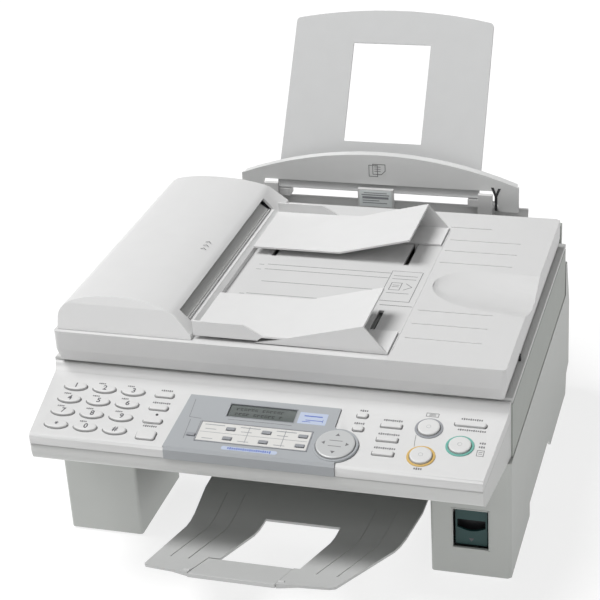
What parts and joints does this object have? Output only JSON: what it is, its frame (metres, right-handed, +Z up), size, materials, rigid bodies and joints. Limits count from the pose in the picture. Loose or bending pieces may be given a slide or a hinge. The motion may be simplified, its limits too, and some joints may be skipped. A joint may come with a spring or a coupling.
{
  "type": "fax machine",
  "caption": "Flatbed laser fax with a sheet feeder, sliding document guides, tilting control panel keys, hinged lid and top unit, front output tray and rear paper support.",
  "frame": {"origin": "on the desk plane, under the middle of the whole machine's bounding box", "axes": "+X to the machine's right, seen from its front; +Y to its back; +Z up"},
  "size_m": [0.5176, 0.7462, 0.4641],
  "materials": {
    "case_white": "light grey, fine texture",
    "case_light": "warm light grey, fine texture",
    "case_side": "grey-green, fine texture",
    "mid_grey": "satin",
    "silver_blue": "satin silver-blue",
    "dark_plastic": "black, satin",
    "steel_sheet": "plain sheet",
    "teal_plastic": "satin teal",
    "rubber": "matte",
    "drum_coating": "glossy coating",
    "circuit_board": "satin",
    "window_glass": "polished",
    "lcd": "glossy",
    "mat_foam": "matte foam with a white face"
  },
  "bodies": {
    "base": {"base_pan": "mid_grey", "left_side_cover": "case_side", "right_side_cover": "case_side", "rear_cover": "case_side", "engine_frame": "steel_sheet", "laser_unit": "dark_plastic", "toner_cartridge": "dark_plastic", "fuser_unit": "mid_grey", "main_board": "circuit_board", "power_supply": "steel_sheet", "paper_hopper": "case_light", "output_tray": "mid_grey"},
    "top_unit": {"scanner_body": "case_light", "scanner_top": "case_light", "scan_glass": "window_glass", "panel_housing": "case_light", "control_panel": "case_white", "display_bezel": "silver_blue", "lcd_screen": "lcd"},
    "lid": {"document_cover": "case_white", "platen_mat": "mat_foam"},
    "feeder_cover": {"adf_cover": "case_white"},
    "feed_roller": {"adf_feed_roller": "rubber"},
    "paper_tensioner": {"tension_plate": "mid_grey"},
    "support": {"paper_support": "case_light"},
    "lever": {"release_lever": "teal_plastic"},
    "flap": {"tray_extension": "mid_grey"},
    "front_guide": {"document_guide_front": "case_light"},
    "rear_guide": {"document_guide_rear": "case_light"},
    "pinion": {"guide_pinion": "case_white"},
    "carriage": {"scan_carriage": "dark_plastic"},
    "drum": {"photo_drum": "drum_coating"},
    "pickup": {"pickup_roller": "rubber"},
    "key_0_cap": {"key_0": "case_white"},
    "key_1_cap": {"key_1": "case_white"},
    "key_2_cap": {"key_2": "case_white"},
    "key_3_cap": {"key_3": "case_white"},
    "key_4_cap": {"key_4": "case_white"},
    "key_5_cap": {"key_5": "case_white"},
    "key_6_cap": {"key_6": "case_white"},
    "key_7_cap": {"key_7": "case_white"},
    "key_8_cap": {"key_8": "case_white"},
    "key_9_cap": {"key_9": "case_white"},
    "key_star_cap": {"key_star": "case_white"},
    "key_hash_cap": {"key_hash": "case_white"},
    "key_speaker_cap": {"key_speaker": "case_white"},
    "key_redial_cap": {"key_redial": "case_white"},
    "key_tone_cap": {"key_tone": "case_white"},
    "key_monitor_cap": {"key_monitor": "case_white"},
    "key_help_cap": {"key_help": "case_white"},
    "key_menu_cap": {"key_menu": "case_white"},
    "key_auto_answer_cap": {"key_auto_answer": "case_white"},
    "key_resolution_cap": {"key_resolution": "case_white"},
    "key_broadcast_cap": {"key_broadcast": "case_white"},
    "key_quick_scan_cap": {"key_quick_scan": "case_white"},
    "key_copy_cap": {"key_copy": "case_white"},
    "key_stop_cap": {"key_stop": "case_white"},
    "key_fax_start_cap": {"key_fax_start": "case_white"},
    "key_scroll_cap": {"key_scroll": "case_light"},
    "station_keys_cap": {"station_keys": "case_white"}
  },
  "joints": [
    {"name": "top_unit_hinge", "type": "hinge", "parent": "base", "child": "top_unit", "pos_m": [0, 0.22543, 0.24], "axis": [-1, 0, 0], "range_deg": [0, 28]},
    {"name": "document_cover_hinge", "type": "hinge", "parent": "top_unit", "child": "lid", "pos_m": [0, 0.22243, 0.242], "axis": [1, 0, 0], "range_deg": [-40, 0]},
    {"name": "feeder_cover_hinge", "type": "hinge", "parent": "lid", "child": "feeder_cover", "pos_m": [-0.2484, 0.01843, 0.2597], "axis": [0, -1, 0], "range_deg": [0, 65]},
    {"name": "tension_plate_tilt", "type": "hinge", "parent": "base", "child": "paper_tensioner", "pos_m": [0, 0.24273, 0.252], "axis": [1, 0, 0], "range_deg": [0, 8], "stiffness_Nm_per_rad": 0.5, "springref_deg": -9.74},
    {"name": "paper_support_lift", "type": "slide", "parent": "base", "child": "support", "axis": [0, 0.5534, 0.8329], "range_m": [0, 0.04]},
    {"name": "release_lever_pull", "type": "hinge", "parent": "base", "child": "lever", "pos_m": [0.214, -0.17057, 0.041], "axis": [1, 0, 0], "range_deg": [0, 14], "stiffness_Nm_per_rad": 0.3, "springref_deg": -5.73},
    {"name": "tray_flap_hinge", "type": "hinge", "parent": "base", "child": "flap", "pos_m": [0.0075, -0.36157, 0.0974], "axis": [1, 0, 0], "range_deg": [0, 160]},
    {"name": "front_guide_slide", "type": "slide", "parent": "lid", "child": "front_guide", "axis": [0, 1, 0], "range_m": [0, 0.046]},
    {"name": "rear_guide_slide", "type": "slide", "parent": "lid", "child": "rear_guide", "axis": [0, 1, 0], "range_m": [-0.046, 0]},
    {"name": "guide_pinion_spin", "type": "hinge", "parent": "lid", "child": "pinion", "pos_m": [0.103, -0.00107, 0.247], "axis": [0, 0, 1], "range_deg": [-335, 0]},
    {"name": "scan_carriage_travel", "type": "slide", "parent": "top_unit", "child": "carriage", "axis": [1, 0, 0], "range_m": [0, 0.3]},
    {"name": "photo_drum_spin", "type": "hinge", "parent": "base", "child": "drum", "pos_m": [0, 0.03643, 0.066], "axis": [1, 0, 0], "continuous": true},
    {"name": "pickup_roller_spin", "type": "hinge", "parent": "base", "child": "pickup", "pos_m": [0, 0.23243, 0.132], "axis": [1, 0, 0], "continuous": true},
    {"name": "feed_roller_spin", "type": "hinge", "parent": "feeder_cover", "child": "feed_roller", "pos_m": [-0.16, 0.00343, 0.275], "axis": [0, 1, 0], "continuous": true},
    {"name": "key_0_press", "type": "slide", "parent": "top_unit", "child": "key_0_cap", "axis": [0, 0.2205, -0.9754], "range_m": [0, 0.0012], "stiffness_N_per_m": 400},
    {"name": "key_1_press", "type": "slide", "parent": "top_unit", "child": "key_1_cap", "axis": [0, 0.2205, -0.9754], "range_m": [0, 0.0012], "stiffness_N_per_m": 400},
    {"name": "key_2_press", "type": "slide", "parent": "top_unit", "child": "key_2_cap", "axis": [0, 0.2205, -0.9754], "range_m": [0, 0.0012], "stiffness_N_per_m": 400},
    {"name": "key_3_press", "type": "slide", "parent": "top_unit", "child": "key_3_cap", "axis": [0, 0.2205, -0.9754], "range_m": [0, 0.0012], "stiffness_N_per_m": 400},
    {"name": "key_4_press", "type": "slide", "parent": "top_unit", "child": "key_4_cap", "axis": [0, 0.2205, -0.9754], "range_m": [0, 0.0012], "stiffness_N_per_m": 400},
    {"name": "key_5_press", "type": "slide", "parent": "top_unit", "child": "key_5_cap", "axis": [0, 0.2205, -0.9754], "range_m": [0, 0.0012], "stiffness_N_per_m": 400},
    {"name": "key_6_press", "type": "slide", "parent": "top_unit", "child": "key_6_cap", "axis": [0, 0.2205, -0.9754], "range_m": [0, 0.0012], "stiffness_N_per_m": 400},
    {"name": "key_7_press", "type": "slide", "parent": "top_unit", "child": "key_7_cap", "axis": [0, 0.2205, -0.9754], "range_m": [0, 0.0012], "stiffness_N_per_m": 400},
    {"name": "key_8_press", "type": "slide", "parent": "top_unit", "child": "key_8_cap", "axis": [0, 0.2205, -0.9754], "range_m": [0, 0.0012], "stiffness_N_per_m": 400},
    {"name": "key_9_press", "type": "slide", "parent": "top_unit", "child": "key_9_cap", "axis": [0, 0.2205, -0.9754], "range_m": [0, 0.0012], "stiffness_N_per_m": 400},
    {"name": "key_star_press", "type": "slide", "parent": "top_unit", "child": "key_star_cap", "axis": [0, 0.2205, -0.9754], "range_m": [0, 0.0012], "stiffness_N_per_m": 400},
    {"name": "key_hash_press", "type": "slide", "parent": "top_unit", "child": "key_hash_cap", "axis": [0, 0.2205, -0.9754], "range_m": [0, 0.0012], "stiffness_N_per_m": 400},
    {"name": "key_speaker_press", "type": "slide", "parent": "top_unit", "child": "key_speaker_cap", "axis": [0, 0.2205, -0.9754], "range_m": [0, 0.0012], "stiffness_N_per_m": 400},
    {"name": "key_redial_press", "type": "slide", "parent": "top_unit", "child": "key_redial_cap", "axis": [0, 0.2205, -0.9754], "range_m": [0, 0.0012], "stiffness_N_per_m": 400},
    {"name": "key_tone_press", "type": "slide", "parent": "top_unit", "child": "key_tone_cap", "axis": [0, 0.2205, -0.9754], "range_m": [0, 0.0012], "stiffness_N_per_m": 400},
    {"name": "key_monitor_press", "type": "slide", "parent": "top_unit", "child": "key_monitor_cap", "axis": [0, 0.2205, -0.9754], "range_m": [0, 0.0012], "stiffness_N_per_m": 400},
    {"name": "key_help_press", "type": "slide", "parent": "top_unit", "child": "key_help_cap", "axis": [0, 0.2205, -0.9754], "range_m": [0, 0.0012], "stiffness_N_per_m": 400},
    {"name": "key_menu_press", "type": "slide", "parent": "top_unit", "child": "key_menu_cap", "axis": [0, 0.2205, -0.9754], "range_m": [0, 0.0012], "stiffness_N_per_m": 400},
    {"name": "key_auto_answer_press", "type": "slide", "parent": "top_unit", "child": "key_auto_answer_cap", "axis": [0, 0.2205, -0.9754], "range_m": [0, 0.0012], "stiffness_N_per_m": 400},
    {"name": "key_resolution_press", "type": "slide", "parent": "top_unit", "child": "key_resolution_cap", "axis": [0, 0.2205, -0.9754], "range_m": [0, 0.0012], "stiffness_N_per_m": 400},
    {"name": "key_broadcast_press", "type": "slide", "parent": "top_unit", "child": "key_broadcast_cap", "axis": [0, 0.2205, -0.9754], "range_m": [0, 0.0012], "stiffness_N_per_m": 400},
    {"name": "key_quick_scan_press", "type": "slide", "parent": "top_unit", "child": "key_quick_scan_cap", "axis": [0, 0.2205, -0.9754], "range_m": [0, 0.0012], "stiffness_N_per_m": 400},
    {"name": "key_copy_press", "type": "slide", "parent": "top_unit", "child": "key_copy_cap", "axis": [0, 0.2205, -0.9754], "range_m": [0, 0.0012], "stiffness_N_per_m": 400},
    {"name": "key_stop_press", "type": "slide", "parent": "top_unit", "child": "key_stop_cap", "axis": [0, 0.2205, -0.9754], "range_m": [0, 0.0012], "stiffness_N_per_m": 400},
    {"name": "key_fax_start_press", "type": "slide", "parent": "top_unit", "child": "key_fax_start_cap", "axis": [0, 0.2205, -0.9754], "range_m": [0, 0.0012], "stiffness_N_per_m": 400},
    {"name": "key_scroll_press", "type": "slide", "parent": "top_unit", "child": "key_scroll_cap", "axis": [0, 0.2205, -0.9754], "range_m": [0, 0.0012], "stiffness_N_per_m": 400},
    {"name": "station_keys_press", "type": "slide", "parent": "top_unit", "child": "station_keys_cap", "axis": [0, 0.2205, -0.9754], "range_m": [0, 0.0012], "stiffness_N_per_m": 800}
  ],
  "couplings": [
    {"joint": "rear_guide_slide", "follows": "front_guide_slide", "ratio": -1},
    {"joint": "guide_pinion_spin", "follows": "front_guide_slide", "rad_per_m": -125}
  ]
}
